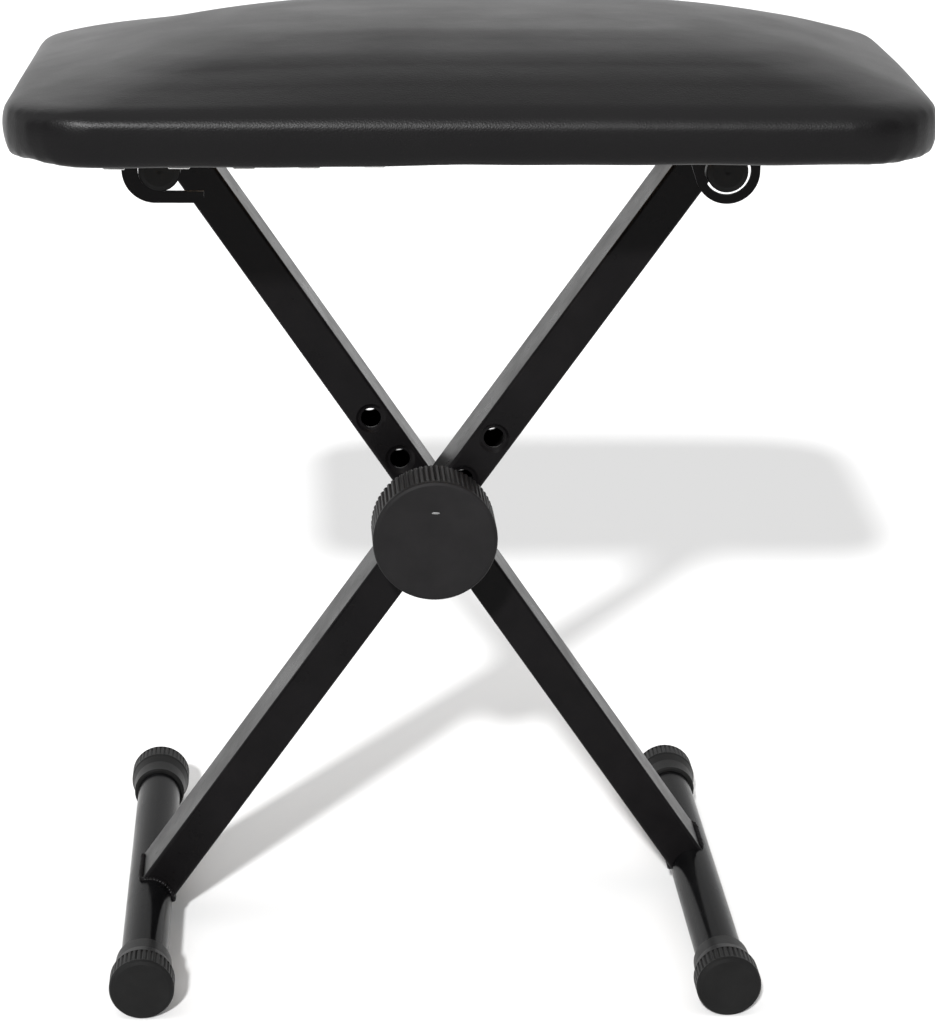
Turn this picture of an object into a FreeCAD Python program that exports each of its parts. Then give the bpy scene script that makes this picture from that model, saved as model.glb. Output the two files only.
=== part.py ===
import FreeCAD, Part
import math
import os

# Folding keyboard bench, in millimetres. The origin is on the floor under the
# middle of the seat, X to the right, Y to the back, Z up. Two crossed legs turn
# on one clamp bolt. Each leg is welded to a foot tube below and to a round top
# bar above. The front leg's top bar turns in two ring brackets under the seat,
# and the rear leg's top bar rests in two open hook brackets.

# Leg frame
LEG_TILT = 34.8          # each leg's angle from the vertical, opened, in degrees
LEG_UPPER = 237.0        # clamp bolt to the top bar's axis
LEG_LOWER = 259.0        # clamp bolt to the foot tube's axis
LEG_WIDTH = 20.0         # tube section across the face
LEG_DEPTH = 35.0         # tube section front to back
LEG_CORNER = 1.8
LEG_WALL = 1.2
LEG_GAP = 1.0            # between the two legs
PIVOT_X = -12.6          # clamp bolt from the middle of the seat

# Height holes along each leg, dished in on both faces
HOLE_R = 5.2
HOLE_PITCH = 27.0
HOLE_EXTRA = 2           # holes above the one in use
DIMPLE_R = 7.8
DIMPLE_DEPTH = 1.3
DIMPLE_BEND = 0.75       # share of the depth reached halfway in

# Foot tubes and caps
FOOT_R = 12.0
FOOT_WALL = 1.5
CAP_R = 16.4
CAP_TAIL_R = 14.2
CAP_BORE_GAP = 0.1
CAP_LENGTH = 31.0
CAP_RIM = 13.0           # length of the ribbed rim
CAP_END = 4.0            # thickness of the cap's end wall
CAP_EDGE = ((2.4, 0.0), (0.7, 0.5), (0.0, 1.6))    # in from the rim and back from the end
CAP_NECK = ((-1.2, 1.7), (-7.0, 0.5))    # behind the rim, and out from the tail's radius
CAP_TAIL_EDGE = 0.9      # rounding at the tail's end
CAP_RIBS = 40
CAP_RIB_DEPTH = 0.6
CAP_RIB_ENDS = (0.6, 2.2)    # plain bands left behind and before the ribs
RIB_SHARE = 0.42         # half a groove's width, as a share of the pitch
RIB_OVER = 0.4           # how far a groove's cutter stands out, as a share of its depth
FOOT_HALF = 140.5        # middle of the bench to a cap's end face

# Top bars
BAR_R = 10.0
BAR_WALL = 1.5
BAR_HALF = 94.5
BAR_TRIM = 6.0           # leg's end below the top bar's axis
PLUG_DEPTH = 8.0
PLUG_DOME = ((10.0, 1.6), (2.6, 1.4), (0.8, 0.6), (0.4, 0.0))    # in from the skin, out from the end

# Brackets under the seat
PLATE = 2.5
PLATE_Y = 90.0           # inner face of each upright plate
FLANGE = 22.0            # reach of the flange, from the plate's outer face
BEND_R = 2.0             # inside radius of the bend
RING_BORE_R = 11.2
RING_R = 15.5
RING_SLACK = 0.5         # the ring hangs off centre by this, down and outward
RING_FLARE = 21.0        # flange's reach towards the middle of the seat
HOOK_PLAY = 0.4
HOOK_END = 18.0          # closed end, from the bar's axis
HOOK_DROP = 16.0         # hook's underside, below the bar's axis
HOOK_LIP = 21.0          # lip's reach towards the middle of the seat
HOOK_LIP_R = 3.0
HOOK_TOP = 24.0          # upper arm's reach towards the middle of the seat
SCREW_R = 2.4
SCREW_HEAD_R = 4.4
SCREW_HEAD = 1.6
SCREW_DOME = 0.8         # slant round the head's edge
SCREW_LENGTH = 9.0
SCREW_PITCH = 24.0
SCREW_PLAY = 0.35

# Clamp knob and bolt
BOLT_R = 5.0
BOLT_REACH = 2.5         # bolt's end, past the nut
BOLT_CHAMFER = 1.2
THREAD_PLAY = 0.06
NUT_FLATS = 17.0
NUT_HEIGHT = 8.0
NUT_FLANGE_R = 11.0
NUT_FLANGE = 1.8
SPACER_R = 14.0
SPACER_PLAY = 0.1
WASHER_R = 13.0
WASHER = 1.6
KNOB_R = 31.6
KNOB_FACE_Y = -68.4
KNOB_DEPTH = 28.6        # depth of the ribbed rim
KNOB_FRONT = 4.0         # thickness of the front wall
KNOB_RIM = 3.4           # thickness of the rim's wall
KNOB_DRAFT = 0.6         # taper of the walls inside
KNOB_RIBS = 72
KNOB_RIB_DEPTH = 1.0
KNOB_PLAIN = 2.2         # plain band before the ribs
KNOB_EDGE = ((2.0, 0.0), (0.7, 0.4), (0.15, 1.1), (0.0, 2.1))    # in from the rim, and back from the face
KNOB_LIP = 0.8           # chamfer at the rim's open end
HUB_TIP_R = 11.0
HUB_BASE_R = 14.0
HUB_PLAY = 0.1
WEBS = 6
WEB = 2.4
WEB_SINK = 2.0           # webs' edges, below the rim's open end
HEAD_FLATS = 16.0
HEAD_HEIGHT = 6.5
HEAD_SINK = 6.0          # bolt head's top, behind the front face

# Seat
SEAT_LENGTH = 440.0
SEAT_DEPTH = 300.0
SEAT_CORNER = 42.0
CORNER_REST = 2.0        # straight side left at least, where the outline is smallest
BAR_TO_BOARD = 14.8      # top bar's axis to the board's underside
BOARD = 12.0
COVER = 1.2
TUCK = 5.5               # how far the cover's hem is drawn in under the widest line
BOARD_PLAY = 0.3         # board's edge to the cover's inside
HEM_WIDTH = 24.0
SIDE_RISE = 19.5         # board's underside to the start of the crown
CROWN = 26.0
CROWN_POWER = 2.5
CROWN_START = 6.0        # inset where the crown starts
CROWN_RINGS = (11.0, 20.0, 36.0, 62.0, 104.0)    # insets of the sections over the crown
SIDE_RINGS = ((1.5, 2.0), (0.0, 8.0), (0.6, 13.0), (2.6, 16.8))    # insets and heights up the side

PIVOT_Z = CAP_R + LEG_LOWER * math.cos(math.radians(LEG_TILT))
BAR_X = LEG_UPPER * math.sin(math.radians(LEG_TILT))
BAR_Z = PIVOT_Z + LEG_UPPER * math.cos(math.radians(LEG_TILT))
FOOT_X = LEG_LOWER * math.sin(math.radians(LEG_TILT))
BOARD_Z = BAR_Z + BAR_TO_BOARD
BOARD_INSET = TUCK + COVER + BOARD_PLAY
LEG_INNER = LEG_GAP / 2
LEG_OUTER = LEG_INNER + LEG_DEPTH
BOLT_TIP = LEG_OUTER + NUT_HEIGHT + BOLT_REACH

AXIS_X = FreeCAD.Vector(1, 0, 0)
AXIS_Y = FreeCAD.Vector(0, 1, 0)
AXIS_Z = FreeCAD.Vector(0, 0, 1)
ORIGIN = FreeCAD.Vector(0, 0, 0)
OVER = 1.0               # how far a cutting tool runs past a face


def vec(x, y, z):
    return FreeCAD.Vector(x, y, z)


def rod(radius, x, z, y_from, y_to):
    """A round bar along Y."""
    return Part.makeCylinder(radius, y_to - y_from, vec(x, y_from, z), AXIS_Y)


def pipe(outer, inner, x, z, y_from, y_to):
    """A round tube along Y."""
    return rod(outer, x, z, y_from, y_to).cut(rod(inner, x, z, y_from - OVER, y_to + OVER))


def turned(profile, x, z):
    """A solid turned about the line along Y through x, z, from (radius, y) points."""
    points = [vec(x + r, y, z) for r, y in profile]
    face = Part.Face(Part.makePolygon(points + points[:1]))
    return face.revolve(vec(x, 0, z), AXIS_Y, 360)


def prism(edges, reach):
    """Closed edges turned into a face and pushed along a vector."""
    return Part.Face(Part.Wire(Part.__sortEdges__(edges))).extrude(reach)


def line(a, b):
    return Part.LineSegment(a, b).toShape()


def arc(a, middle, b):
    return Part.Arc(a, middle, b).toShape()


def save(name, shape):
    shape.exportStep("parts/" + name + ".step")


def rounded_box(width, y_low, y_high, z_low, z_high, radius):
    """An upright bar of rounded section, centred on x = 0."""
    box = Part.makeBox(width, y_high - y_low, z_high - z_low, vec(-width / 2, y_low, z_low))
    upright = [e for e in box.Edges if abs(e.tangentAt(0).z) > 0.5]
    return box.makeFillet(radius, upright)


def leg_body(inset, z_low, z_high):
    """A leg's rectangular bar, drawn in by inset, along Z."""
    width = LEG_WIDTH - 2 * inset
    radius = max(LEG_CORNER - inset, LEG_CORNER / 4)
    outer = -LEG_OUTER + inset
    inner = -LEG_INNER - inset
    return rounded_box(width, outer, inner, z_low, z_high, radius)


def dimple(z, face_y, way):
    """A dished wall round a hole, sunk from a face of the leg towards way."""
    sink = DIMPLE_DEPTH * way
    wall = LEG_WALL * way
    half = (DIMPLE_R + HOLE_R) / 2
    bend = sink * DIMPLE_BEND
    profile = [
        (HOLE_R, face_y + sink),
        (half, face_y + bend),
        (DIMPLE_R, face_y),
        (DIMPLE_R, face_y + wall),
        (half, face_y + wall + bend),
        (HOLE_R, face_y + wall + sink),
    ]
    return turned(profile, 0, z)


def leg_tube():
    """One leg in its own place: clamp bolt at the origin, leg along Z, outer face at -Y."""
    top = LEG_UPPER - BAR_TRIM
    bottom = -LEG_LOWER
    leg = leg_body(0, bottom, top).cut(leg_body(LEG_WALL, bottom - OVER, top + OVER))
    for step in range(HOLE_EXTRA + 1):
        z = step * HOLE_PITCH
        if step == 0:
            leg = leg.cut(rod(HOLE_R, 0, z, -LEG_OUTER - OVER, OVER))
            continue
        leg = leg.cut(rod(DIMPLE_R, 0, z, -LEG_OUTER - OVER, OVER))
        leg = leg.fuse(dimple(z, -LEG_INNER, -1)).fuse(dimple(z, -LEG_OUTER, 1))
    leg = leg.cut(rod(BAR_R, 0, LEG_UPPER, -LEG_OUTER - OVER, OVER))
    leg = leg.cut(rod(FOOT_R, 0, -LEG_LOWER, -LEG_OUTER - OVER, OVER))
    return leg.removeSplitter()


def placed_leg(side):
    """The front leg for side 1 and the rear leg, turned to face back, for side -1."""
    leg = leg_tube()
    if side < 0:
        leg.rotate(ORIGIN, AXIS_Z, 180)
    leg.rotate(ORIGIN, AXIS_Y, side * LEG_TILT)
    leg.translate(vec(PIVOT_X, 0, PIVOT_Z))
    return leg


def top_bar(x):
    return pipe(BAR_R, BAR_R - BAR_WALL, x, BAR_Z, -BAR_HALF, BAR_HALF)


def top_bar_plugs(x):
    """Two plastic plugs that close the ends of a top bar."""
    plugs = []
    for way in (-1, 1):
        end = way * BAR_HALF
        profile = [(BAR_R - inward, end + way * out) for inward, out in PLUG_DOME]
        profile += [
            (BAR_R - BAR_WALL, end),
            (BAR_R - BAR_WALL, end - way * PLUG_DEPTH),
            (0, end - way * PLUG_DEPTH),
        ]
        plugs.append(turned(profile, x, BAR_Z))
    return Part.makeCompound(plugs)


def foot_tube(x):
    half = FOOT_HALF - CAP_END
    return pipe(FOOT_R, FOOT_R - FOOT_WALL, x, CAP_R, -half, half)


def ribs(count, radius, depth, x, z, y_from, y_to):
    """V grooves round a rim, as one cutting tool."""
    pitch = 2 * math.pi * radius / count
    tools = []
    for step in range(count):
        points = [
            vec(x, y_from, z + radius - depth),
            vec(x + pitch * RIB_SHARE, y_from, z + radius + depth * RIB_OVER),
            vec(x - pitch * RIB_SHARE, y_from, z + radius + depth * RIB_OVER),
        ]
        tool = Part.Face(Part.makePolygon(points + points[:1])).extrude(vec(0, y_to - y_from, 0))
        tool.rotate(vec(x, 0, z), AXIS_Y, 360 * step / count)
        tools.append(tool)
    return Part.makeCompound(tools)


def foot_cap(x, way):
    """A flared cap with a ribbed rim, way -1 at the front and 1 at the back."""
    bore = FOOT_R + CAP_BORE_GAP
    end = FOOT_HALF
    profile = [(0, end)]
    profile += [(CAP_R - inward, end - back) for inward, back in CAP_EDGE]
    profile.append((CAP_R, end - CAP_RIM))
    profile += [(CAP_TAIL_R + out, end - CAP_RIM + along) for along, out in CAP_NECK]
    profile += [
        (CAP_TAIL_R, end - CAP_LENGTH + CAP_TAIL_EDGE),
        (CAP_TAIL_R - CAP_TAIL_EDGE, end - CAP_LENGTH),
        (bore, end - CAP_LENGTH),
        (bore, end - CAP_END),
        (0, end - CAP_END),
    ]
    cap = turned(profile, x, CAP_R)
    rear_band, front_band = CAP_RIB_ENDS
    rib_from = end - CAP_RIM + rear_band
    cap = cap.cut(ribs(CAP_RIBS, CAP_R, CAP_RIB_DEPTH, x, CAP_R, rib_from, end - front_band))
    if way < 0:
        cap.rotate(vec(x, 0, CAP_R), AXIS_Z, 180)
    return cap


def bracket_profile(x_from, x_to):
    """The bent strip of a front bracket, upright plate and flange, along X."""
    outer = -PLATE_Y - PLATE
    low = BAR_Z - HOOK_END - OVER
    top = BOARD_Z
    bend = BEND_R + PLATE
    centre = vec(x_from, outer + bend, top - bend)
    slant = math.sqrt(0.5)
    out_mid = centre + vec(0, -slant * bend, slant * bend)
    in_mid = centre + vec(0, -slant * BEND_R, slant * BEND_R)
    edges = [
        line(vec(x_from, outer, low), vec(x_from, outer, top - bend)),
        arc(vec(x_from, outer, top - bend), out_mid, vec(x_from, outer + bend, top)),
        line(vec(x_from, outer + bend, top), vec(x_from, outer + FLANGE, top)),
        line(vec(x_from, outer + FLANGE, top), vec(x_from, outer + FLANGE, top - PLATE)),
        line(vec(x_from, outer + FLANGE, top - PLATE), vec(x_from, outer + bend, top - PLATE)),
        arc(vec(x_from, outer + bend, top - PLATE), in_mid, vec(x_from, outer + PLATE, top - bend)),
        line(vec(x_from, outer + PLATE, top - bend), vec(x_from, outer + PLATE, low)),
        line(vec(x_from, outer + PLATE, low), vec(x_from, outer, low)),
    ]
    return prism(edges, vec(x_to - x_from, 0, 0))


def ring_outline(x):
    """The ring bracket's outline in the XZ plane, flared towards the middle of the seat."""
    y = -PLATE_Y - PLATE - OVER
    cx = x + RING_SLACK
    cz = BAR_Z - RING_SLACK
    corner = vec(x - RING_FLARE, y, BOARD_Z)
    dx = corner.x - cx
    dz = corner.z - cz
    far = math.hypot(dx, dz)
    turn = math.atan2(dz, dx) + math.acos(RING_R / far)
    touch = vec(cx + RING_R * math.cos(turn), y, cz + RING_R * math.sin(turn))
    edges = [
        line(corner, vec(cx + RING_R, y, BOARD_Z)),
        line(vec(cx + RING_R, y, BOARD_Z), vec(cx + RING_R, y, cz)),
        arc(vec(cx + RING_R, y, cz), vec(cx, y, cz - RING_R), touch),
        line(touch, corner),
    ]
    return prism(edges, vec(0, FLANGE + 2 * OVER, 0))


def ring_bracket(x, way):
    strip = bracket_profile(x - RING_FLARE - OVER, x + RING_R + 2 * OVER)
    plate = strip.common(ring_outline(x))
    bore = rod(RING_BORE_R, x + RING_SLACK, BAR_Z - RING_SLACK, -PLATE_Y - PLATE - OVER, -PLATE_Y + BEND_R)
    plate = plate.cut(bore)
    middle = x + (RING_R - RING_FLARE) / 2
    return turned_back(drilled(plate, middle), middle, way)


def hook_outline(x):
    """The hook's outline: closed at the outer end, its slot open to the middle of the seat."""
    y = -PLATE_Y - PLATE - OVER
    slot = BAR_R + HOOK_PLAY
    big = HOOK_DROP
    slant = math.sqrt(0.5)
    turn_x = x - HOOK_END + big
    low = BAR_Z - HOOK_DROP
    lip = x + HOOK_LIP
    lip_r = HOOK_LIP_R
    edges = [
        line(vec(x - HOOK_END, y, BOARD_Z), vec(x - HOOK_END, y, BAR_Z)),
        arc(
            vec(x - HOOK_END, y, BAR_Z),
            vec(turn_x - slant * big, y, BAR_Z - slant * big),
            vec(turn_x, y, low),
        ),
        line(vec(turn_x, y, low), vec(lip - lip_r, y, low)),
        arc(
            vec(lip - lip_r, y, low),
            vec(lip - lip_r + slant * lip_r, y, low + lip_r - slant * lip_r),
            vec(lip, y, low + lip_r),
        ),
        line(vec(lip, y, low + lip_r), vec(lip, y, BAR_Z - slot)),
        line(vec(lip, y, BAR_Z - slot), vec(x, y, BAR_Z - slot)),
        arc(vec(x, y, BAR_Z - slot), vec(x - slot, y, BAR_Z), vec(x, y, BAR_Z + slot)),
        line(vec(x, y, BAR_Z + slot), vec(x + HOOK_TOP, y, BAR_Z + slot)),
        line(vec(x + HOOK_TOP, y, BAR_Z + slot), vec(x + HOOK_TOP, y, BOARD_Z)),
        line(vec(x + HOOK_TOP, y, BOARD_Z), vec(x - HOOK_END, y, BOARD_Z)),
    ]
    return prism(edges, vec(0, FLANGE + 2 * OVER, 0))


def hook_bracket(x, way):
    strip = bracket_profile(x - HOOK_END - OVER, x + HOOK_TOP + OVER)
    middle = x + (HOOK_TOP - HOOK_END) / 2
    return turned_back(drilled(strip.common(hook_outline(x)), middle), middle, way)


def screw_places(middle):
    """Where the two screws of a front bracket go, in X and Y."""
    y = -PLATE_Y - PLATE + FLANGE / 2 + BEND_R + SCREW_R / 2
    return [(middle - SCREW_PITCH / 2, y), (middle + SCREW_PITCH / 2, y)]


def drilled(plate, middle):
    for x, y in screw_places(middle):
        hole = Part.makeCylinder(SCREW_R + SCREW_PLAY, PLATE + 2 * OVER, vec(x, y, BOARD_Z - PLATE - OVER))
        plate = plate.cut(hole)
    return plate


def turned_back(plate, middle, way):
    """Leaves a front bracket as it is, and mirrors it to the back for way 1."""
    if way > 0:
        return plate.mirror(ORIGIN, AXIS_Y)
    return plate


def screw(x, y):
    """A round-headed screw driven up through a flange into the board."""
    under = BOARD_Z - PLATE
    tip_r = SCREW_HEAD_R - SCREW_DOME
    head = Part.makeCone(tip_r, SCREW_HEAD_R, SCREW_HEAD, vec(x, y, under - SCREW_HEAD))
    shank = Part.makeCylinder(SCREW_R, PLATE + SCREW_LENGTH, vec(x, y, under))
    return head.fuse(shank).removeSplitter()


def bracket_middles():
    ring = PIVOT_X + BAR_X + (RING_R - RING_FLARE) / 2
    hook = PIVOT_X - BAR_X + (HOOK_TOP - HOOK_END) / 2
    return [ring, hook]


def all_screw_places():
    places = []
    for middle in bracket_middles():
        for x, y in screw_places(middle):
            places += [(x, y), (x, -y)]
    return places


def bracket_screws():
    return Part.makeCompound([screw(x, y) for x, y in all_screw_places()])


def hexagon(flats, y_from, y_to):
    """A hexagonal bar along Y on the clamp bolt's axis."""
    reach = flats / math.sqrt(3)
    points = []
    for step in range(6):
        turn = math.radians(60 * step)
        points.append(vec(PIVOT_X + reach * math.cos(turn), y_from, PIVOT_Z + reach * math.sin(turn)))
    return Part.Face(Part.makePolygon(points + points[:1])).extrude(vec(0, y_to - y_from, 0))


def pivot_bolt():
    head_from = KNOB_FACE_Y + HEAD_SINK
    profile = [
        (0, head_from + HEAD_HEIGHT),
        (BOLT_R, head_from + HEAD_HEIGHT),
        (BOLT_R, BOLT_TIP - BOLT_CHAMFER),
        (BOLT_R - BOLT_CHAMFER, BOLT_TIP),
        (0, BOLT_TIP),
    ]
    shank = turned(profile, PIVOT_X, PIVOT_Z)
    return shank.fuse(hexagon(HEAD_FLATS, head_from, head_from + HEAD_HEIGHT)).removeSplitter()


def pivot_knob():
    """A round cup with a ribbed rim, open at the back, and a hub on six webs."""
    face = KNOB_FACE_Y
    back = face + KNOB_DEPTH
    hub_end = -LEG_OUTER - WASHER - HUB_PLAY
    profile = [
        (0, face),
        *[(KNOB_R - inward, face + behind) for inward, behind in KNOB_EDGE],
        (KNOB_R, back - KNOB_LIP),
        (KNOB_R - KNOB_LIP, back),
        (KNOB_R - KNOB_RIM, back),
        (KNOB_R - KNOB_RIM - KNOB_DRAFT, face + KNOB_FRONT),
        (HUB_BASE_R + KNOB_DRAFT, face + KNOB_FRONT),
        (HUB_BASE_R, back),
        (HUB_TIP_R, hub_end),
        (0, hub_end),
    ]
    knob = turned(profile, PIVOT_X, PIVOT_Z)
    length = KNOB_R - KNOB_RIM / 2
    depth = KNOB_DEPTH - KNOB_FRONT - WEB_SINK
    for step in range(WEBS):
        web = Part.makeBox(length, depth, WEB, vec(0, face + KNOB_FRONT - OVER / 2, -WEB / 2))
        web.rotate(ORIGIN, AXIS_Y, 360 * step / WEBS)
        web.translate(vec(PIVOT_X, 0, PIVOT_Z))
        knob = knob.fuse(web)
    rib_from = face + KNOB_PLAIN
    grooves = ribs(KNOB_RIBS, KNOB_R, KNOB_RIB_DEPTH, PIVOT_X, PIVOT_Z, rib_from, back + OVER)
    return knob.cut(grooves).cut(pivot_bolt()).removeSplitter()


def pivot_nut():
    """A flanged nut on the rear leg's outer face."""
    base = LEG_OUTER
    nut = hexagon(NUT_FLATS, base, base + NUT_HEIGHT)
    nut = nut.fuse(rod(NUT_FLANGE_R, PIVOT_X, PIVOT_Z, base, base + NUT_FLANGE))
    bore = rod(BOLT_R + THREAD_PLAY, PIVOT_X, PIVOT_Z, base - OVER, base + NUT_HEIGHT + OVER)
    return nut.cut(bore).removeSplitter()


def leg_spacer():
    return pipe(SPACER_R, HOLE_R, PIVOT_X, PIVOT_Z, -LEG_INNER, LEG_INNER - SPACER_PLAY)


def knob_washer():
    return pipe(WASHER_R, BOLT_R + THREAD_PLAY, PIVOT_X, PIVOT_Z, -LEG_OUTER - WASHER, -LEG_OUTER)


def outline(inset, z):
    """The seat's outline, a rectangle with round corners, drawn in by inset."""
    half_x = SEAT_LENGTH / 2 - inset
    half_y = SEAT_DEPTH / 2 - inset
    radius = min(SEAT_CORNER, half_y - CORNER_REST)
    slant = radius * (1 - math.sqrt(0.5))
    edges = []
    corners = [(1, 1), (-1, 1), (-1, -1), (1, -1)]
    for step, (sx, sy) in enumerate(corners):
        along_x = vec(sx * (half_x - radius), sy * half_y, z)
        along_y = vec(sx * half_x, sy * (half_y - radius), z)
        middle = vec(sx * (half_x - slant), sy * (half_y - slant), z)
        start, end = (along_y, along_x) if sx * sy > 0 else (along_x, along_y)
        edges.append(arc(start, middle, end))
        nx, ny = corners[(step + 1) % 4]
        if nx != sx:
            edges.append(line(end, vec(nx * (half_x - radius), ny * half_y, z)))
        else:
            edges.append(line(end, vec(nx * half_x, ny * (half_y - radius), z)))
    return Part.Wire(edges)


def crown_height(inset):
    share = (inset - CROWN_START) / (SEAT_DEPTH / 2 - CROWN_START)
    return BOARD_Z + SIDE_RISE + CROWN * (1 - (1 - share) ** CROWN_POWER)


def side_body(skin):
    """The cushion's sides, drawn in below and rolled in above, as far as the crown."""
    levels = [(TUCK, BOARD_Z - COVER + skin)]
    levels += [(inset, BOARD_Z + height) for inset, height in SIDE_RINGS]
    levels.append((CROWN_START, crown_height(CROWN_START) - skin))
    return Part.makeLoft([outline(inset + skin, z) for inset, z in levels], True, True)


def crown_body(skin):
    insets = (CROWN_START, *CROWN_RINGS)
    return Part.makeLoft([outline(i + skin, crown_height(i) - skin) for i in insets], True, False)


def cushion_body(skin):
    return side_body(skin).fuse(crown_body(skin)).removeSplitter()


def board_solid():
    board = Part.Face(outline(BOARD_INSET, BOARD_Z)).extrude(vec(0, 0, BOARD))
    for x, y in all_screw_places():
        board = board.cut(Part.makeCylinder(SCREW_R, SCREW_LENGTH, vec(x, y, BOARD_Z)))
    return board


def foam_solid():
    top = BOARD_Z + BOARD
    corner = vec(-SEAT_LENGTH / 2, -SEAT_DEPTH / 2, top)
    above = Part.makeBox(SEAT_LENGTH, SEAT_DEPTH, SEAT_DEPTH, corner)
    return cushion_body(COVER).common(above)


def cover_solid():
    """The covering, open below inside its turned-under hem."""
    skin = cushion_body(0).cut(cushion_body(COVER))
    window = Part.Face(outline(HEM_WIDTH, BOARD_Z - COVER - OVER)).extrude(vec(0, 0, COVER + 2 * OVER))
    return skin.cut(window)


def main():
    os.makedirs("parts", exist_ok=True)
    front_bar_x = PIVOT_X + BAR_X
    rear_bar_x = PIVOT_X - BAR_X
    save("seat_cover", cover_solid())
    save("foam_pad", foam_solid())
    save("seat_board", board_solid())
    for name, way in (("front", -1), ("rear", 1)):
        save("hinge_bracket_" + name, ring_bracket(front_bar_x, way))
        save("hook_bracket_" + name, hook_bracket(rear_bar_x, way))
    save("bracket_screws", bracket_screws())
    for name, side in (("front", 1), ("rear", -1)):
        bar_x = PIVOT_X + side * BAR_X
        foot_x = PIVOT_X - side * FOOT_X
        save(name + "_leg_tube", placed_leg(side))
        save(name + "_top_bar", top_bar(bar_x))
        save(name + "_top_bar_plugs", top_bar_plugs(bar_x))
        save(name + "_foot_tube", foot_tube(foot_x))
        save(name + "_foot_cap_front", foot_cap(foot_x, -1))
        save(name + "_foot_cap_rear", foot_cap(foot_x, 1))
    save("leg_spacer_washer", leg_spacer())
    save("pivot_nut", pivot_nut())
    save("pivot_bolt", pivot_bolt())
    save("knob_washer", knob_washer())
    save("pivot_knob", pivot_knob())


main()
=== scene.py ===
import math

import bmesh
import bpy
from mathutils import Matrix, Vector, noise


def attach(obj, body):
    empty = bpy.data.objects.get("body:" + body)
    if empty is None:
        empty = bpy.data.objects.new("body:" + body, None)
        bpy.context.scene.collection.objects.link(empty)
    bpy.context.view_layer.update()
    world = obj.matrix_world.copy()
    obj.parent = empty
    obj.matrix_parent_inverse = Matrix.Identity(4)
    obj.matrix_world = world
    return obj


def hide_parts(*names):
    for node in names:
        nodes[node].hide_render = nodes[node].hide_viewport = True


# Folding keyboard bench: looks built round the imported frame, in metres.

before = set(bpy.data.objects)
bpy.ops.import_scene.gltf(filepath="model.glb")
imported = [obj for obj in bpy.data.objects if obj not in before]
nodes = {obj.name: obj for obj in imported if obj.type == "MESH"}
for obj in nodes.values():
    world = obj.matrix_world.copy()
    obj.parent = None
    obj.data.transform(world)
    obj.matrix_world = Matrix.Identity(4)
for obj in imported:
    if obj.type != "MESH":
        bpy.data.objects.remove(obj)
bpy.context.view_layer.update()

# Camera, at the photograph's view
IMAGE_HEIGHT = 1024.0
FOCAL_PX = 3088.1
SENSOR = 36.0
CENTRE_RIGHT_PX = 100.7
CENTRE_UP_PX = 1.1
CAMERA_PLACE = Vector((-0.0914, -1.5385, 0.7258))
CAMERA_YAW = 1.72
CAMERA_PITCH = 18.13
CAMERA_ROLL = 0.47

# Light. The studio's levels run from the wall behind (0), over the top, to the front (1)
STUDIO = (
    (0.0, 0.72), (0.12, 0.72), (0.25, 0.28), (0.38, 0.60),
    (0.5, 1.0), (0.62, 0.85), (0.75, 0.15), (0.92, 0.05),
)
STUDIO_LEVEL = 2.0
STUDIO_LEFT = 1.15       # the levels' share at the far left
STUDIO_RIGHT = 0.65
KEY_WAY = (0.15, 0.735, -0.455)
KEY_STRENGTH = 5.4
KEY_SPREAD = 3.5
FLOOR_SIZE = 24.0
FLOOR_LEVEL = 0.70
FLOOR_ROUGH = 0.9
FLOOR_GLOW = 0.05        # white that the floor adds of itself where the camera sees it

# Colours, each between a darker and a lighter patch
LEG_COLOURS = ((0.0024, 0.0022, 0.0024), (0.0042, 0.0038, 0.0041))
FOOT_COLOURS = ((0.0024, 0.0024, 0.0026), (0.0040, 0.0040, 0.0043))
CAP_COLOURS = ((0.0050, 0.0050, 0.0050), (0.0080, 0.0080, 0.0080))
KNOB_COLOURS = ((0.0065, 0.0062, 0.0065), (0.0095, 0.0090, 0.0094))
GATE_COLOURS = ((0.10, 0.10, 0.10), (0.14, 0.14, 0.14))
VINYL_COLOURS = ((0.0024, 0.0022, 0.0025), (0.0038, 0.0035, 0.0037))
STEEL_COLOURS = ((0.50, 0.50, 0.49), (0.66, 0.66, 0.65))
PLYWOOD_COLOURS = ((0.33, 0.21, 0.11), (0.52, 0.37, 0.22))
FOAM_COLOURS = ((0.50, 0.47, 0.34), (0.68, 0.65, 0.52))

# Frame sizes that the details follow
LEG_TILT = math.radians(34.8)
PIVOT = Vector((-0.0126, 0.0, 0.22908))
LEG_UPPER = 0.237
LEG_LOWER = 0.259
LEG_HALF_WIDTH = 0.010
LEG_INNER = 0.0005
LEG_OUTER = 0.0355
LEG_CORNER = 0.0018
FOOT_R = 0.012
BAR_R = 0.010
BAR_TRIM = 0.006         # leg's end below the top bar's axis
BEAD_R = 0.0014          # weld bead
BEAD_STEP = 0.0017       # length of one ripple of the bead
BEAD_RIPPLE = 0.16       # ripple's height, as a share of the bead's radius
BEAD_UNEVEN = 0.22       # slow change of the radius, as a share of it
BEAD_RATE = 350.0
BEAD_END = 6             # rings over which an end tapers
LEG_STEPS = 16           # points along each side of the leg's section

# Clamp bolt and knob
BOLT_R = 0.005
BOLT_HEAD_Y = -0.0624
BOLT_HEAD = 0.0065
BOLT_HEAD_FLATS = 0.016
BOLT_TIP = 0.046
BOLT_CHAMFER = 0.0012
THREAD_FROM = -0.0350
THREAD_PITCH = 0.0015
THREAD_DEPTH = 0.0008
KNOB_FACE_Y = -0.0684
GATE_RISE = 0.0150       # gate mark above the knob's middle
GATE_HALF = Vector((0.0021, 0.00022, 0.0006))
AROUND = 32              # points round the bolt
THREAD_ROWS = 6          # rings in each turn of the thread

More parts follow.
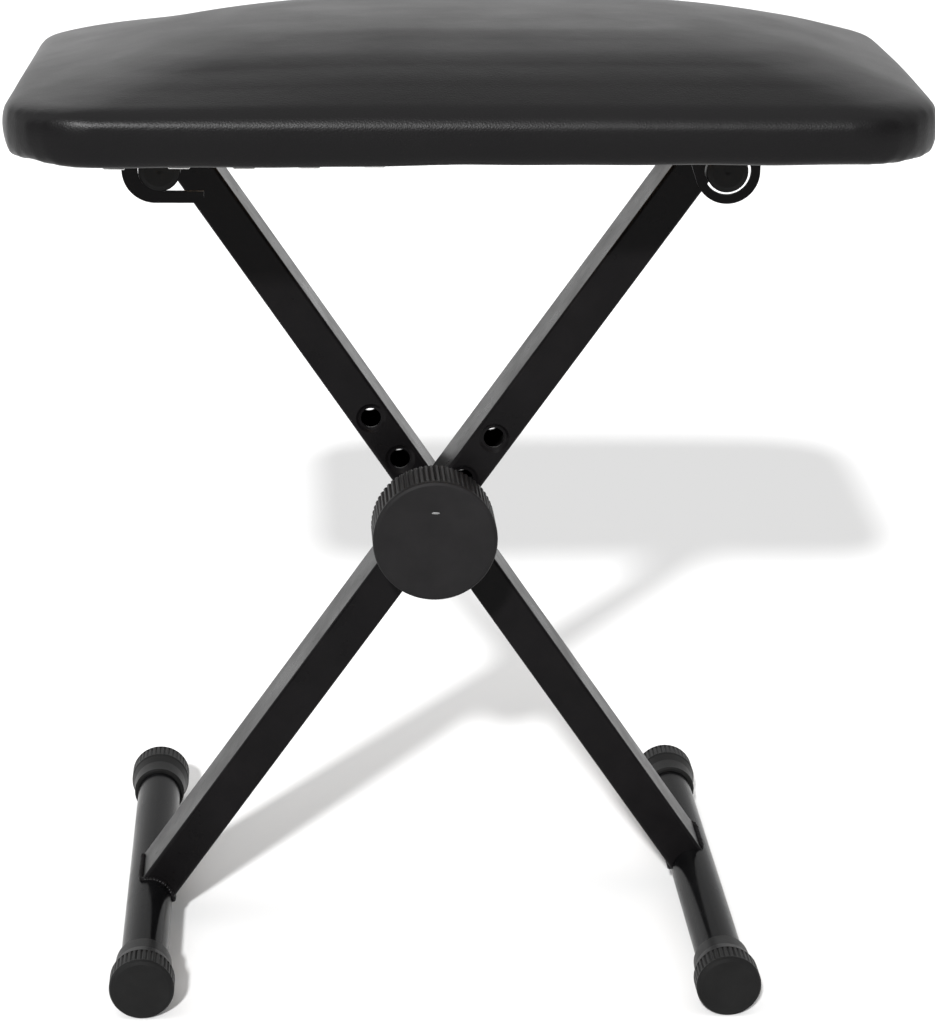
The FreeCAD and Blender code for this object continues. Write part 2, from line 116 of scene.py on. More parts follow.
# Seat
SEAT_HALF_X = 0.2198
SEAT_HALF_Y = 0.150
SEAT_CORNER = 0.042
BACK_CORNER = 0.076      # back corners of the padding, wider than the board's
CORNER_LOW = 0.0095      # height from which the back corners widen
CORNER_HIGH = 0.0250
CORNER_REST = 0.002      # straight side left at least, where the outline is smallest
SEAT_BOTTOM = 0.4373
BOARD_Z = 0.4385
SKEW = 0.034             # how much the hand-stretched cover runs to the right towards the back
SKEW_Y = -0.085          # where it doesn't
LEAN_LOW = 0.004         # behind that line the hem keeps its place on the board
LEAN_HIGH = 0.026
LEFT_DROP = 0.0055       # how much lower the crown is at its left end
LEFT_FROM = -0.02
LEFT_TO = -0.20
BACK_DROP = 0.0030       # how much lower the two back corners are
BACK_X = (0.04, 0.22)
BACK_Y = (-0.05, 0.15)
TUCK = 0.0045            # how far the cover is drawn in at its lower edge
SIDE_RISE = 0.0266
SIDE_RINGS = (           # inset and height, up the side
    (0.0012, 0.0032), (0.0, 0.0092), (0.0, 0.0182), (0.0010, 0.0222), (0.0034, 0.0251),
)
SIDE_HELD = 0.0182       # height up to which the side keeps its place
CROWN = 0.0212
CROWN_POWER = 2.6
CROWN_START = 0.0070
CROWN_RINGS = (0.0070, 0.012, 0.020, 0.036, 0.062, 0.100, 0.140)
RING_STEPS = 12          # points round each corner of an outline
HEM_WIDTH = 0.024
HEM_REACH = 0.011        # height up to which the hem's waves run out
HEM_STEPS = 24
HEM_EDGE_WAVE = 0.0014   # how unevenly the hem was trimmed
HEM_EDGE_RATE = 60.0     # waves in a metre, roughly
HEM_WAVE_RATE = 22.0
WINDOW_UNDER = 0.004     # how far the opening is cut below the hem and into the board
WINDOW_OVER = 0.001
SHARP = 50.0             # folds sharper than this stay sharp, in degrees
SLACK = 0.0022           # how much lower the crown is before it is filled
VOXEL = 0.005
PRESSURE = 4.0
FRAMES = 20
MOST_MOVED = 0.005
SWELL = 0.5              # share of the swelling that the cover lets through
EVEN_PASSES = 60         # how often the swelling is evened out, as taut vinyl does
HEM_SAG = 0.0010
HEM_SAG_LEFT = 0.0026    # more on the left half
HEM_WAVE = 0.0010
PLEAT = 0.0011
PLEATS = 7               # in each corner
STAPLE_PITCH = 0.030
STAPLE_HALF = 0.0052
STAPLE_R = 0.00045
STAPLE_INSET = 0.015
STAPLE_FLAT = 1.3        # crown's width, as a share of the wire's
STAPLE_BENDS = (         # place along the crown, as a share of its half length, and rise
    (-1.0, 0.0012), (-0.96, 0.0002), (-0.86, -0.0001),
    (0.86, -0.0001), (0.96, 0.0002), (1.0, 0.0012),
)


def add_camera():
    """The camera, at the place and with the lens that give the photograph's view."""
    yaw = math.radians(CAMERA_YAW)
    pitch = math.radians(CAMERA_PITCH)
    roll = math.radians(CAMERA_ROLL)
    ahead = Vector((math.sin(yaw) * math.cos(pitch), math.cos(yaw) * math.cos(pitch), -math.sin(pitch)))
    level = Vector((math.cos(yaw), -math.sin(yaw), 0.0))
    rise = level.cross(ahead)
    right = level * math.cos(roll) + rise * math.sin(roll)
    up = rise * math.cos(roll) - level * math.sin(roll)
    camera = bpy.data.objects.new("camera", bpy.data.cameras.new("camera"))
    camera.data.sensor_width = SENSOR
    camera.data.sensor_fit = "AUTO"
    camera.data.lens = FOCAL_PX * SENSOR / IMAGE_HEIGHT
    camera.data.shift_x = CENTRE_RIGHT_PX / IMAGE_HEIGHT
    camera.data.shift_y = CENTRE_UP_PX / IMAGE_HEIGHT
    turn = Matrix((right, up, -ahead)).transposed().to_4x4()
    camera.matrix_world = Matrix.Translation(CAMERA_PLACE) @ turn
    bpy.context.collection.objects.link(camera)
    bpy.context.scene.camera = camera


def link(name, mesh):
    """A new object in the scene."""
    piece = bpy.data.objects.new(name, mesh)
    bpy.context.collection.objects.link(piece)
    return piece


def add_sun(name, towards, strength, spread):
    light = bpy.data.lights.new(name, "SUN")
    light.energy = strength
    light.angle = math.radians(spread)
    lamp = bpy.data.objects.new(name, light)
    bpy.context.collection.objects.link(lamp)
    lamp.rotation_euler = Vector(towards).to_track_quat("-Z", "Y").to_euler()


class Nodes:
    """A short way to add and wire a material's nodes."""

    def __init__(self, tree):
        self.tree = tree

    def add(self, kind, **values):
        node = self.tree.nodes.new(kind)
        for key, value in values.items():
            setattr(node, key, value)
        return node

    def wire(self, source, target):
        self.tree.links.new(source, target)

    def noise(self, vector, scale, detail=2.0, rough=0.5):
        node = self.add("ShaderNodeTexNoise")
        node.inputs["Scale"].default_value = scale
        node.inputs["Detail"].default_value = detail
        node.inputs["Roughness"].default_value = rough
        self.wire(vector, node.inputs["Vector"])
        return node.outputs["Fac"]

    def span(self, value, low, high, new_low, new_high):
        node = self.add("ShaderNodeMapRange")
        for key, number in zip(("From Min", "From Max", "To Min", "To Max"), (low, high, new_low, new_high)):
            node.inputs[key].default_value = number
        self.wire(value, node.inputs["Value"])
        return node.outputs["Result"]

    def mix(self, factor, first, second):
        node = self.add("ShaderNodeMix", data_type="RGBA")
        self.wire(factor, node.inputs["Factor"])
        node.inputs["A"].default_value = (*first, 1.0)
        node.inputs["B"].default_value = (*second, 1.0)
        return node.outputs["Result"]

    def bump(self, height, distance, strength=1.0, after=None):
        node = self.add("ShaderNodeBump")
        node.inputs["Distance"].default_value = distance
        node.inputs["Strength"].default_value = strength
        self.wire(height, node.inputs["Height"])
        if after is not None:
            self.wire(after, node.inputs["Normal"])
        return node.outputs["Normal"]


def new_material(name, specular, metallic=0.0):
    """A material with its shader, its node helper and the object's own coordinates."""
    material = bpy.data.materials.new(name)
    material.use_nodes = True
    kit = Nodes(material.node_tree)
    shader = material.node_tree.nodes["Principled BSDF"]
    shader.inputs["Specular IOR Level"].default_value = specular
    shader.inputs["Metallic"].default_value = metallic
    place = kit.add("ShaderNodeTexCoord").outputs["Object"]
    return material, shader, kit, place


def paint(name, dark, light, rough_low, rough_high, specular, peel):
    """Powder-coated steel: fine orange peel, patchy gloss and small rubbed spots."""
    material, shader, kit, place = new_material(name, specular)
    patches = kit.noise(place, 38.0, 5.0, 0.6)
    rubbed = kit.noise(place, 260.0, 3.0, 0.7)
    kit.wire(kit.mix(kit.span(patches, 0.3, 0.7, 0.0, 1.0), dark, light), shader.inputs["Base Color"])
    gloss = kit.add("ShaderNodeMath", operation="ADD")
    kit.wire(kit.span(patches, 0.35, 0.65, rough_low, rough_high), gloss.inputs[0])
    kit.wire(kit.span(rubbed, 0.62, 0.75, 0.0, 0.12), gloss.inputs[1])
    kit.wire(gloss.outputs["Value"], shader.inputs["Roughness"])
    wide = kit.bump(kit.noise(place, 420.0, 1.0), peel)
    fine = kit.bump(kit.noise(place, 1500.0, 2.0), peel * 0.35, after=wide)
    kit.wire(fine, shader.inputs["Normal"])
    return material


def moulded(name, dark, light, rough_low, rough_high, specular, grain):
    """Moulded plastic: fine spark-eroded grain and slight scuffs."""
    material, shader, kit, place = new_material(name, specular)
    patches = kit.noise(place, 55.0, 4.0, 0.6)
    kit.wire(kit.mix(kit.span(patches, 0.3, 0.7, 0.0, 1.0), dark, light), shader.inputs["Base Color"])
    scuffs = kit.noise(place, 320.0, 4.0, 0.75)
    gloss = kit.add("ShaderNodeMath", operation="ADD")
    kit.wire(kit.span(patches, 0.3, 0.7, rough_low, rough_high), gloss.inputs[0])
    kit.wire(kit.span(scuffs, 0.6, 0.8, 0.0, 0.10), gloss.inputs[1])
    kit.wire(gloss.outputs["Value"], shader.inputs["Roughness"])
    kit.wire(kit.bump(kit.noise(place, 2600.0, 2.0, 0.7), grain), shader.inputs["Normal"])
    return material


def plated(name):
    """Zinc-plated steel with fine turning marks and dull spots."""
    material, shader, kit, place = new_material(name, 0.5, metallic=1.0)
    dull = kit.noise(place, 180.0, 4.0, 0.65)
    kit.wire(kit.mix(dull, *STEEL_COLOURS), shader.inputs["Base Color"])
    kit.wire(kit.span(dull, 0.3, 0.7, 0.24, 0.42), shader.inputs["Roughness"])
    kit.wire(kit.bump(kit.noise(place, 2400.0, 2.0), 0.00002), shader.inputs["Normal"])
    return material


def vinyl(name):
    """Black upholstery vinyl: a pebbled grain of small cells, with softly uneven gloss."""
    material, shader, kit, place = new_material(name, 0.12)
    patches = kit.noise(place, 14.0, 4.0, 0.55)
    kit.wire(kit.mix(patches, *VINYL_COLOURS), shader.inputs["Base Color"])
    kit.wire(kit.span(patches, 0.3, 0.7, 0.36, 0.44), shader.inputs["Roughness"])
    cells = kit.add("ShaderNodeTexVoronoi", feature="DISTANCE_TO_EDGE")
    cells.inputs["Scale"].default_value = 720.0
    kit.wire(place, cells.inputs["Vector"])
    pebbles = kit.bump(kit.span(cells.outputs["Distance"], 0.0, 0.35, 0.0, 1.0), 0.00005, 0.7)
    soft = kit.bump(kit.noise(place, 60.0, 3.0), 0.00035, 0.5, after=pebbles)
    kit.wire(soft, shader.inputs["Normal"])
    shader.inputs["Sheen Weight"].default_value = 0.02
    shader.inputs["Sheen Roughness"].default_value = 0.4
    return material


def plywood(name):
    """Raw plywood: long grain along the seat, with darker bands and fine pores."""
    material, shader, kit, place = new_material(name, 0.3)
    stretch = kit.add("ShaderNodeMapping")
    stretch.inputs["Scale"].default_value = (6.0, 90.0, 90.0)
    kit.wire(place, stretch.inputs["Vector"])
    grain = kit.noise(stretch.outputs["Vector"], 1.0, 6.0, 0.65)
    pores = kit.noise(stretch.outputs["Vector"], 9.0, 3.0, 0.6)
    kit.wire(kit.mix(kit.span(grain, 0.3, 0.7, 0.0, 1.0), *PLYWOOD_COLOURS), shader.inputs["Base Color"])
    kit.wire(kit.span(pores, 0.3, 0.7, 0.6, 0.8), shader.inputs["Roughness"])
    kit.wire(kit.bump(pores, 0.0002, 0.6), shader.inputs["Normal"])
    return material


def foam_material(name):
    """Open-cell foam: pale, dull and pitted."""
    material, shader, kit, place = new_material(name, 0.2)
    cells = kit.noise(place, 900.0, 3.0, 0.7)
    kit.wire(kit.mix(cells, *FOAM_COLOURS), shader.inputs["Base Color"])
    kit.wire(kit.span(cells, 0.3, 0.7, 0.85, 1.0), shader.inputs["Roughness"])
    kit.wire(kit.bump(cells, 0.0004), shader.inputs["Normal"])
    return material


def dress(material, *names):
    """Gives CAD nodes a material."""
    for name in names:
        mesh = nodes[name].data
        if not mesh.materials:
            mesh.materials.append(material)
        for place in range(len(mesh.materials)):
            mesh.materials[place] = material


def rounded_outline(inset, z, count):
    """Points round the seat's outline, a rectangle with round corners, drawn in by inset."""
    half_x = SEAT_HALF_X - inset
    half_y = SEAT_HALF_Y - inset
    wider = (BACK_CORNER - SEAT_CORNER) * ramp(z - SEAT_BOTTOM, CORNER_LOW, CORNER_HIGH)
    points = []
    for corner in range(4):
        start = corner * math.pi / 2
        sx = 1 if corner in (0, 3) else -1
        sy = 1 if corner in (0, 1) else -1
        radius = min(SEAT_CORNER + (wider if sy > 0 else 0.0), half_y - CORNER_REST)
        for step in range(count):
            turn = start + math.pi / 2 * step / (count - 1)
            points.append(Vector((
                sx * (half_x - radius) + radius * math.cos(turn),
                sy * (half_y - radius) + radius * math.sin(turn),
                z,
            )))
    return points


def crown_height(inset):
    """Height of the crown, this far in from the seat's edge."""
    share = (inset - CROWN_START) / (SEAT_HALF_Y - CROWN_START)
    return SEAT_BOTTOM + SIDE_RISE + (CROWN - SLACK) * (1 - (1 - share) ** CROWN_POWER)


def cushion_rings():
    """Outlines from the lower edge, up the side and over the crown."""
    levels = [(TUCK, SEAT_BOTTOM)]
    levels += [(inset, SEAT_BOTTOM + height) for inset, height in SIDE_RINGS]
    levels += [(inset, crown_height(inset)) for inset in CROWN_RINGS]
    return [rounded_outline(inset, height, RING_STEPS) for inset, height in levels]


def ring_mesh(name, rings, closed=True):
    """A form lofted through rings of equal count, with both ends filled where closed."""
    bm = bmesh.new()
    rows = [[bm.verts.new(p) for p in ring] for ring in rings]
    for low, high in zip(rows, rows[1:]):
        for step in range(len(low)):
            after = (step + 1) % len(low)
            bm.faces.new((low[step], low[after], high[after], high[step]))
    if closed:
        bm.faces.new(list(reversed(rows[0])))
        bm.faces.new(rows[-1])
    bmesh.ops.recalc_face_normals(bm, faces=bm.faces)
    mesh = bpy.data.meshes.new(name)
    bm.to_mesh(mesh)
    bm.free()
    return mesh


def bake(piece):
    """Turns a piece's modifiers into its mesh."""
    graph = bpy.context.evaluated_depsgraph_get()
    mesh = bpy.data.meshes.new_from_object(piece.evaluated_get(graph))
    piece.modifiers.clear()
    piece.data = mesh


def smooth(mesh):
    """Shades a mesh's faces smoothly."""
    for face in mesh.polygons:
        face.use_smooth = True


def fill_out(piece):
    """Swells a closed cushion as cloth under pressure, its lower edge held."""
    start = [v.co.copy() for v in piece.data.vertices]
    held = piece.vertex_groups.new(name="held")
    low = SEAT_BOTTOM + SIDE_HELD
    held.add([v.index for v in piece.data.vertices if v.co.z < low], 1.0, "REPLACE")
    cloth = piece.modifiers.new("cloth", "CLOTH")
    cloth.settings.vertex_group_mass = "held"
    cloth.settings.use_pressure = True
    cloth.settings.uniform_pressure_force = PRESSURE
    cloth.settings.effector_weights.gravity = 0.0
    cloth.point_cache.frame_end = FRAMES
    scene = bpy.context.scene
    for step in range(1, FRAMES + 1):
        scene.frame_set(step)
    bake(piece)
    scene.frame_set(1)
    moves = []
    for vertex, origin in zip(piece.data.vertices, start):
        moved = vertex.co - origin
        kept = min(1.0, MOST_MOVED / max(moved.length, MOST_MOVED / 100))
        moves.append(moved * (SWELL * kept))
    for vertex, origin, moved in zip(piece.data.vertices, start, evened(piece.data, moves)):
        vertex.co = origin + moved
    piece.vertex_groups.clear()


def evened(mesh, moves):
    """The moves of a mesh's points, averaged with their neighbours' several times."""
    near = [[] for _ in moves]
    for edge in mesh.edges:
        a, b = edge.vertices
        near[a].append(b)
        near[b].append(a)
    for _ in range(EVEN_PASSES):
        means = [sum((moves[k] for k in around), Vector()) / len(around) for around in near]
        moves = [(move + mean) / 2 for move, mean in zip(moves, means)]
    return moves


def ramp(value, low, high):
    """A smooth rise from 0 at low to 1 at high."""
    share = min(max((value - low) / (high - low), 0.0), 1.0)
    return share * share * (3 - 2 * share)


def lean_cover(piece):
    """The cover runs a little to one side, and its crown falls off at the left end."""
    for vertex in piece.data.vertices:
        height = vertex.co.z - SEAT_BOTTOM - SIDE_HELD
        left = ramp(-vertex.co.x, -LEFT_FROM, -LEFT_TO)
        vertex.co.z -= LEFT_DROP * left * ramp(height, 0.0, CROWN)
        back = ramp(abs(vertex.co.x), *BACK_X) * ramp(vertex.co.y, *BACK_Y)
        vertex.co.z -= BACK_DROP * back * ramp(height, -BACK_DROP, BACK_DROP * 2)
        aside = SKEW * (vertex.co.y - SKEW_Y)
        if aside > 0:
            aside *= ramp(vertex.co.z - SEAT_BOTTOM, LEAN_LOW, LEAN_HIGH)
        vertex.co.x += aside


def corner_turn(point):
    """How far round its corner a point lies, 0 to 1, or None on a straight side."""
    reach_x = abs(point.x) - (SEAT_HALF_X - SEAT_CORNER)
    reach_y = abs(point.y) - (SEAT_HALF_Y - SEAT_CORNER)
    if reach_x <= 0 or reach_y <= 0:
        return None
    return math.atan2(reach_y, reach_x) / (math.pi / 2)


def hem_drop(point):
    """How far the hem hangs below its flat, in waves and corner pleats."""
    along = Vector((point.x * HEM_WAVE_RATE, point.y * HEM_WAVE_RATE, 0.4))
    drop = HEM_SAG + HEM_SAG_LEFT * ramp(-point.x, 0.0, 0.06) + HEM_WAVE * noise.noise(along)
    turn = corner_turn(point)
    if turn is not None:
        ends = math.sin(turn * math.pi)
        drop += PLEAT * ends * abs(math.sin(turn * math.pi * PLEATS)) ** 0.6
    return drop


def shape_hem(piece):
    """Waves and pleats along the lower edge, fading up the side."""
    for vertex in piece.data.vertices:
        height = vertex.co.z - SEAT_BOTTOM
        if height > HEM_REACH:
            continue
        inward = min(SEAT_HALF_X - abs(vertex.co.x), SEAT_HALF_Y - abs(vertex.co.y))
        fade = (1 - max(height, 0.0) / HEM_REACH) ** 2 * max(0.0, 1 - inward / HEM_WIDTH)
        vertex.co.z -= hem_drop(vertex.co) * fade


def trim_wave(point, layer):
    """How far the hem's trimmed edge strays here."""
    spot = Vector((point.x * HEM_EDGE_RATE, point.y * HEM_EDGE_RATE, layer))
    return HEM_EDGE_WAVE * noise.noise(spot)


def cut_hem_window(piece):
    """Opens the underside down to the board, inside an unevenly trimmed hem."""
    low = rounded_outline(HEM_WIDTH, SEAT_BOTTOM - WINDOW_UNDER, HEM_STEPS)
    for point in low:
        point.x += trim_wave(point, 2.0)
        point.y += trim_wave(point, 5.0)
    high = [Vector((p.x, p.y, BOARD_Z + WINDOW_OVER)) for p in low]
    cutter = link("hem_cutter", ring_mesh("hem_cutter", [low, high]))
    cut = piece.modifiers.new("window", "BOOLEAN")
    cut.object = cutter
    cut.operation = "DIFFERENCE"
    cut.solver = "EXACT"
    bake(piece)
    bpy.data.objects.remove(cutter)


def build_cushion(material):
    """The stretched cover over its padding, as one closed form."""
    cushion = link("vinyl_cushion", ring_mesh("vinyl_cushion", cushion_rings()))
    even = cushion.modifiers.new("even", "REMESH")
    even.mode = "VOXEL"
    even.voxel_size = VOXEL
    bake(cushion)
    fill_out(cushion)
    finer = cushion.modifiers.new("finer", "SUBSURF")
    finer.levels = 1
    bake(cushion)
    shape_hem(cushion)
    lean_cover(cushion)
    cut_hem_window(cushion)
    smooth(cushion.data)
    cushion.data.set_sharp_from_angle(angle=math.radians(SHARP))
    cushion.data.materials.clear()
    cushion.data.materials.append(material)
    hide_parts("seat_cover", "foam_pad")
    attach(cushion, "seat")


def along_outline(points, pitch):
    """Even places round a closed outline, each with its direction."""
    places = []
    ahead = pitch / 2
    for here, after in zip(points, points[1:] + points[:1]):
        run = after - here
        length = run.length
        while length > 0 and ahead < length:
            places.append((here + run * (ahead / length), run / length))
            ahead += pitch
        ahead -= length
    return places


def circle(middle, first, second, count):
    """Points round middle, on an ellipse with these two half axes."""
    turns = [2 * math.pi * step / count for step in range(count)]
    return [middle + first * math.cos(turn) + second * math.sin(turn) for turn in turns]


def staple_rings(place, way):
    """A wire staple's crown, its ends turned up into the hem."""
    side = Vector((0, 0, 1)).cross(way) * (STAPLE_FLAT * STAPLE_R)
    rise = Vector((0, 0, STAPLE_R))
    rings = []
    for share, height in STAPLE_BENDS:
        middle = place + way * (share * STAPLE_HALF) + Vector((0, 0, height))
        rings.append(circle(middle, side, rise, 8))
    return rings


def merged(name, groups):
    """One mesh of several ring forms."""
    bm = bmesh.new()
    for rings in groups:
        part = ring_mesh(name + "_part", rings)
        bm.from_mesh(part)
        bpy.data.meshes.remove(part)
    mesh = bpy.data.meshes.new(name)
    bm.to_mesh(mesh)
    bm.free()
    return mesh


def build_staples(material):
    """The row of staples that holds the hem to the board."""
    groups = []
    outline = rounded_outline(STAPLE_INSET, SEAT_BOTTOM, RING_STEPS)
    for place, way in along_outline(outline, STAPLE_PITCH):
        place.z -= hem_drop(place)
        groups.append(staple_rings(place, way))
    staples = link("hem_staples", merged("hem_staples", groups))
    smooth(staples.data)
    staples.data.materials.append(material)
    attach(staples, "seat")


def leg_section(count):
    """Points round a leg's section but for its inner face, as (across, y), front leg."""
    inner = -LEG_INNER - LEG_CORNER
    outer = -LEG_OUTER
    width = LEG_HALF_WIDTH
    corner = LEG_CORNER
    points = [(-width, inner + (outer + corner - inner) * i / count) for i in range(count)]
    for step in range(5):
        turn = math.pi / 2 * step / 4
        points.append((-width + corner - corner * math.cos(turn), outer + corner - corner * math.sin(turn)))
    points += [(-width + corner + 2 * (width - corner) * i / count, outer) for i in range(1, count)]
    mirrored = [(-across, y) for across, y in reversed(points[:count + 5])]
    return points + mirrored


def bead_path(side, centre_along, tube_r, trim, way):
    """Where a leg's section meets a round tube, and the way out from the leg."""
    lean = Vector((math.sin(side * LEG_TILT), 0.0, math.cos(side * LEG_TILT)))
    across_way = Vector((lean.z, 0.0, -lean.x))
    tube = PIVOT + lean * centre_along
    path = []
    for across, y in leg_section(LEG_STEPS):
        reach = max(math.sqrt(max(tube_r ** 2 - across ** 2, 0.0)), trim)
        out_across = across / LEG_HALF_WIDTH if abs(across) > LEG_HALF_WIDTH - LEG_CORNER else 0.0
        out_y = -1.0 if y < -LEG_OUTER + LEG_CORNER else 0.0
        out = (across_way * out_across + Vector((0, out_y, 0))).normalized()
        point = tube + lean * (way * reach) + across_way * across + Vector((0, y, 0))
        point += out * BEAD_R * 0.2 + lean * (way * BEAD_R * 0.3)
        if side < 0:
            point.y = -point.y
        path.append(point)
    return path


def even_path(path, pitch):
    """The path's points again, one every pitch."""
    points = []
    ahead = 0.0
    for here, after in zip(path, path[1:]):
        run = after - here
        while ahead < run.length:
            points.append(here + run * (ahead / run.length))
            ahead += pitch
        ahead -= run.length
    return points


def bead_rings(path):
    """A rippled round bead along a path, tapered at both ends."""
    points = even_path(path, BEAD_STEP / 4)
    last = len(points) - 1
    rings = []
    for index, point in enumerate(points):
        ahead = (points[min(index + 1, last)] - points[max(index - 1, 0)]).normalized()
        side = ahead.orthogonal().normalized()
        lift = ahead.cross(side)
        ripple = 1 + BEAD_RIPPLE * math.sin(index * math.pi / 2)
        uneven = 1 + BEAD_UNEVEN * noise.noise(point * BEAD_RATE)
        taper = min(1.0, 0.25 + min(index, last - index) / BEAD_END)
        radius = BEAD_R * ripple * uneven * taper
        rings.append(circle(point, side * radius, lift * radius, 10))
    return rings


def build_beads(material):
    """Weld beads where each leg meets its foot tube and its top bar."""
    for name, side in (("front", 1), ("rear", -1)):
        foot = bead_path(side, -LEG_LOWER, FOOT_R, 0.0, 1)
        bar = bead_path(side, LEG_UPPER, BAR_R, BAR_TRIM, -1)
        for place, path in (("foot", foot), ("bar", bar)):
            title = name + "_" + place + "_weld"
            bead = link(title, ring_mesh(title, bead_rings(path)))
            smooth(bead.data)
            bead.data.materials.append(material)
            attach(bead, name + "_leg")


def thread_rings():
    """Rings of a screw thread, each ring a turn's section round the bolt's axis."""
    rings = []
    rows = int((BOLT_TIP - THREAD_FROM) / THREAD_PITCH * THREAD_ROWS)
    for row in range(rows + 1):
        y = THREAD_FROM + (BOLT_TIP - THREAD_FROM) * row / rows
        ring = []
        for step in range(AROUND):
            turn = 2 * math.pi * step / AROUND
            phase = (y / THREAD_PITCH - step / AROUND) % 1.0
            depth = THREAD_DEPTH * (1 - abs(2 * phase - 1))
            crest = min(BOLT_R, BOLT_R - BOLT_CHAMFER + (BOLT_TIP - y))
            radius = min(BOLT_R - depth, crest)
            ring.append(round_bolt(radius, turn, y))
        rings.append(ring)
    return rings


def round_bolt(radius, turn, y):
    """A point this far from the bolt's axis, at this turn round it."""
    return Vector((PIVOT.x + radius * math.cos(turn), y, PIVOT.z + radius * math.sin(turn)))


def round_ring(radius, y):
    return [round_bolt(radius, 2 * math.pi * step / AROUND, y) for step in range(AROUND)]


def hex_ring(flats, y):
    """A hexagon's outline with as many points as a round ring."""
    ring = []
    for step in range(AROUND):
        turn = 2 * math.pi * step / AROUND
        slant = (turn + math.pi / 6) % (math.pi / 3) - math.pi / 6
        ring.append(round_bolt(flats / 2 / math.cos(slant), turn, y))
    return ring


def build_bolt(material):
    """The clamp bolt with its hexagon head and rolled thread."""
    under = BOLT_HEAD_Y + BOLT_HEAD
    head = [
        round_ring(BOLT_HEAD_FLATS * 0.44, BOLT_HEAD_Y),
        hex_ring(BOLT_HEAD_FLATS * 0.985, BOLT_HEAD_Y + 0.0008),
        hex_ring(BOLT_HEAD_FLATS, BOLT_HEAD_Y + 0.0012),
        hex_ring(BOLT_HEAD_FLATS, under),
        round_ring(BOLT_R, under),
    ]
    bolt = link("threaded_bolt", ring_mesh("threaded_bolt", head + thread_rings()))
    smooth(bolt.data)
    bolt.data.set_sharp_from_angle(angle=math.radians(32))
    bolt.data.materials.append(material)
    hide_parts("pivot_bolt")
    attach(bolt, "knob")


def build_gate_mark(material):
    """The moulding gate's small raised dash on the knob's face."""
    middle = Vector((PIVOT.x, KNOB_FACE_Y, PIVOT.z + GATE_RISE))
    rings = []
    for share in (-0.98, -0.8, -0.4, 0.0, 0.4, 0.8, 0.98):
        girth = math.sqrt(1 - share ** 2)
        centre = middle + Vector((GATE_HALF.x * share, 0, 0))
        out = Vector((0, GATE_HALF.y * girth, 0))
        up = Vector((0, 0, GATE_HALF.z * girth))
        rings.append(circle(centre, out, up, 12))
    mark = link("knob_gate_mark", ring_mesh("knob_gate_mark", rings))
    smooth(mark.data)
    mark.data.materials.append(material)
    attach(mark, "knob")


def add_floor():
    """A white floor that keeps the shadows."""
    bpy.ops.mesh.primitive_plane_add(size=FLOOR_SIZE, location=(0.0, 0.0, 0.0))
    floor = bpy.context.object
    floor.name = "floor"
    material = bpy.data.materials.new("floor_white")
    material.use_nodes = True
    kit = Nodes(material.node_tree)
    shader = material.node_tree.nodes["Principled BSDF"]
    shader.inputs["Base Color"].default_value = (FLOOR_LEVEL, FLOOR_LEVEL, FLOOR_LEVEL, 1.0)
    shader.inputs["Roughness"].default_value = FLOOR_ROUGH
    shader.inputs["Specular IOR Level"].default_value = 0.0
    out = material.node_tree.nodes["Material Output"]
    white = kit.add("ShaderNodeEmission")
    white.inputs["Strength"].default_value = 1.0
    seen = kit.add("ShaderNodeLightPath")
    share = kit.add("ShaderNodeMath", operation="MULTIPLY")
    share.inputs[1].default_value = FLOOR_GLOW
    kit.wire(seen.outputs["Is Camera Ray"], share.inputs[0])
    mix = kit.add("ShaderNodeMixShader")
    kit.wire(share.outputs["Value"], mix.inputs["Fac"])
    kit.wire(shader.outputs["BSDF"], mix.inputs[1])
    kit.wire(white.outputs["Emission"], mix.inputs[2])
    kit.wire(mix.outputs["Shader"], out.inputs["Surface"])
    floor.data.materials.append(material)


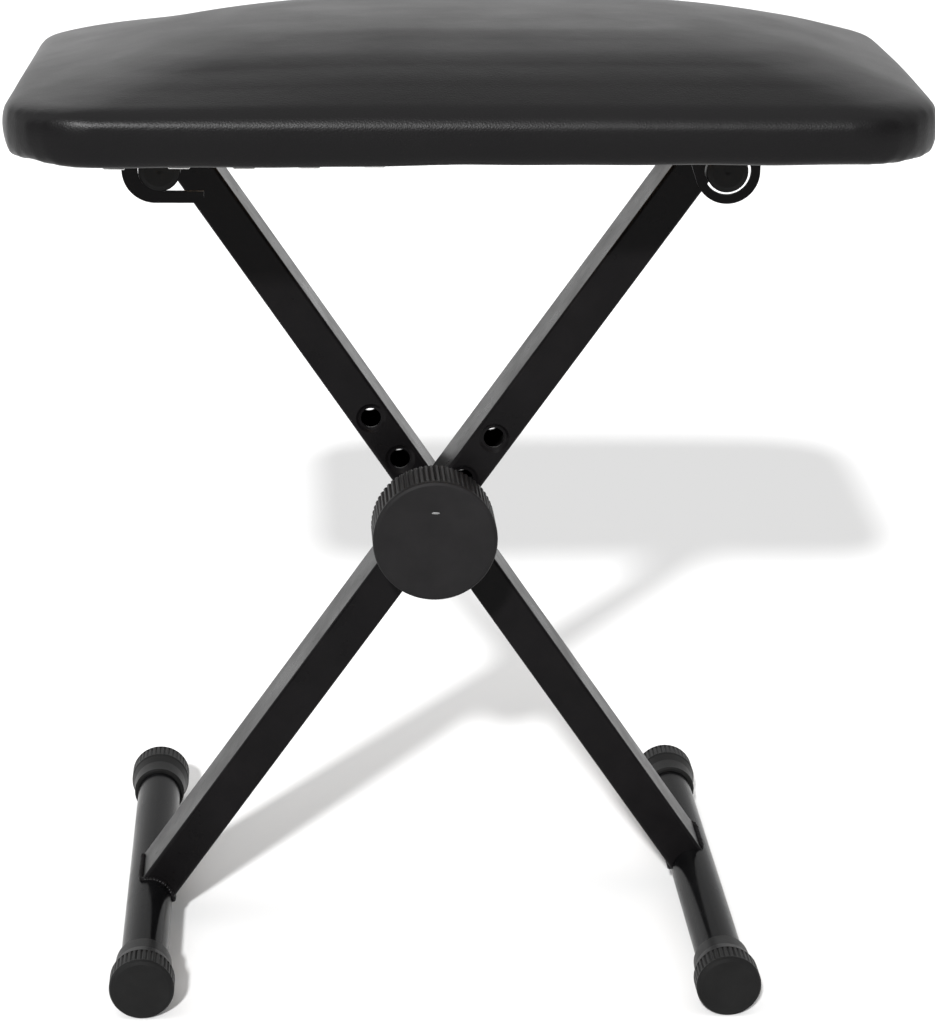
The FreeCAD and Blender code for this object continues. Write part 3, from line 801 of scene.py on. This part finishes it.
def add_world():
    """A studio: white wall behind, a dimmer gap, a soft box overhead and a dark front."""
    world = bpy.data.worlds.new("studio")
    bpy.context.scene.world = world
    world.use_nodes = True
    kit = Nodes(world.node_tree)
    out = world.node_tree.nodes["World Output"]
    soft = world.node_tree.nodes["Background"]
    split = kit.add("ShaderNodeSeparateXYZ")
    kit.wire(kit.add("ShaderNodeTexCoord").outputs["Generated"], split.inputs["Vector"])
    turn = kit.add("ShaderNodeMath", operation="ARCTAN2")
    kit.wire(split.outputs["Z"], turn.inputs[0])
    kit.wire(split.outputs["Y"], turn.inputs[1])
    share = kit.span(turn.outputs["Value"], 0.0, math.pi, 0.0, 1.0)
    levels = kit.add("ShaderNodeValToRGB")
    levels.color_ramp.interpolation = "EASE"
    while len(levels.color_ramp.elements) < len(STUDIO):
        levels.color_ramp.elements.new(1.0)
    for stop, (place, level) in zip(levels.color_ramp.elements, STUDIO):
        stop.position = place
        stop.color = (level, level, level, 1.0)
    kit.wire(share, levels.inputs["Fac"])
    kit.wire(levels.outputs["Color"], soft.inputs["Color"])
    left = STUDIO_LEVEL * STUDIO_LEFT
    right = STUDIO_LEVEL * STUDIO_RIGHT
    sideways = kit.span(split.outputs["X"], -1.0, 1.0, left, right)
    kit.wire(sideways, soft.inputs["Strength"])
    white = kit.add("ShaderNodeBackground")
    white.inputs["Color"].default_value = (1.0, 1.0, 1.0, 1.0)
    white.inputs["Strength"].default_value = 1.0
    seen = kit.add("ShaderNodeLightPath")
    mix = kit.add("ShaderNodeMixShader")
    kit.wire(seen.outputs["Is Camera Ray"], mix.inputs["Fac"])
    kit.wire(soft.outputs["Background"], mix.inputs[1])
    kit.wire(white.outputs["Background"], mix.inputs[2])
    kit.wire(mix.outputs["Shader"], out.inputs["Surface"])


def dress_and_build():
    """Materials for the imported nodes, and the pieces made here."""
    leg = paint("leg_black", *LEG_COLOURS, 0.26, 0.36, 0.07, 0.00005)
    foot = paint("foot_black", *FOOT_COLOURS, 0.16, 0.26, 0.035, 0.00003)
    cap = moulded("cap_grey", *CAP_COLOURS, 0.38, 0.50, 0.08, 0.00003)
    knob = moulded("knob_black", *KNOB_COLOURS, 0.46, 0.56, 0.09, 0.00004)
    steel = plated("plated_steel")
    dress(leg, "front_leg_tube", "rear_leg_tube", "front_top_bar", "rear_top_bar")
    dress(leg, "hinge_bracket_front", "hinge_bracket_rear", "hook_bracket_front", "hook_bracket_rear")
    dress(foot, "front_foot_tube", "rear_foot_tube")
    dress(cap, "front_foot_cap_front", "front_foot_cap_rear", "rear_foot_cap_front", "rear_foot_cap_rear")
    dress(cap, "front_top_bar_plugs", "rear_top_bar_plugs")
    dress(knob, "pivot_knob", "leg_spacer_washer")
    dress(steel, "bracket_screws", "pivot_bolt", "pivot_nut", "knob_washer")
    build_bolt(steel)
    build_gate_mark(moulded("gate_grey", *GATE_COLOURS, 0.3, 0.4, 0.5, 0.00001))
    build_beads(leg)
    build_staples(steel)
    dress(plywood("plywood"), "seat_board")
    dress(foam_material("foam"), "foam_pad")
    skin = vinyl("vinyl_black")
    dress(skin, "seat_cover")
    build_cushion(skin)


def main():
    add_camera()
    bpy.context.scene.view_settings.view_transform = "Standard"
    add_floor()
    add_world()
    add_sun("key", KEY_WAY, KEY_STRENGTH, KEY_SPREAD)
    dress_and_build()


main()
